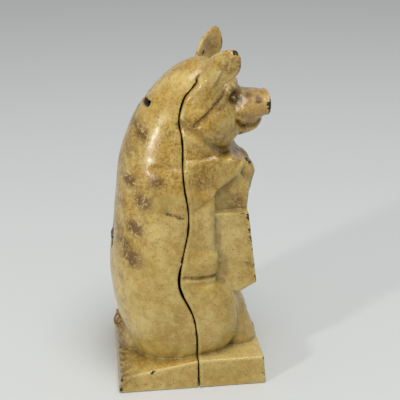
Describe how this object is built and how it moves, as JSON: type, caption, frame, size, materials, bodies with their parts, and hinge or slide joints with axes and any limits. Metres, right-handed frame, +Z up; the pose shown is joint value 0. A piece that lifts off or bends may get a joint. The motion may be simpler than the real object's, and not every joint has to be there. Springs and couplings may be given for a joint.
{
  "type": "piggy bank",
  "caption": "Cast iron still bank: an upright pig on a square base holding a plaque block, made of two hollow castings held by one long screw.",
  "frame": {"origin": "centre of the bounding box in X and Y, at the level of the surface the bank stands on", "axes": "+Z up; the pig faces -Y; +X to its left side"},
  "size_m": [0.073, 0.0794, 0.1681],
  "materials": {
    "ivory_enamel": "aged semi-gloss enamel over cast iron, speckled brown, black iron showing at chips",
    "screw_steel": "dull aged steel, brown in the slot"
  },
  "bodies": {
    "front": {"front_half": "ivory_enamel"},
    "back": {"back_half": "ivory_enamel"},
    "screw": {"assembly_screw": "screw_steel"}
  },
  "joints": [
    {"name": "back_slide", "type": "slide", "parent": "front", "child": "back", "axis": [0, 1, 0], "range_m": [0, 0.08]},
    {"name": "screw_turn", "type": "hinge", "parent": "back", "child": "screw", "pos_m": [0, 0.0355, 0.07], "axis": [0, 1, 0], "continuous": true}
  ]
}
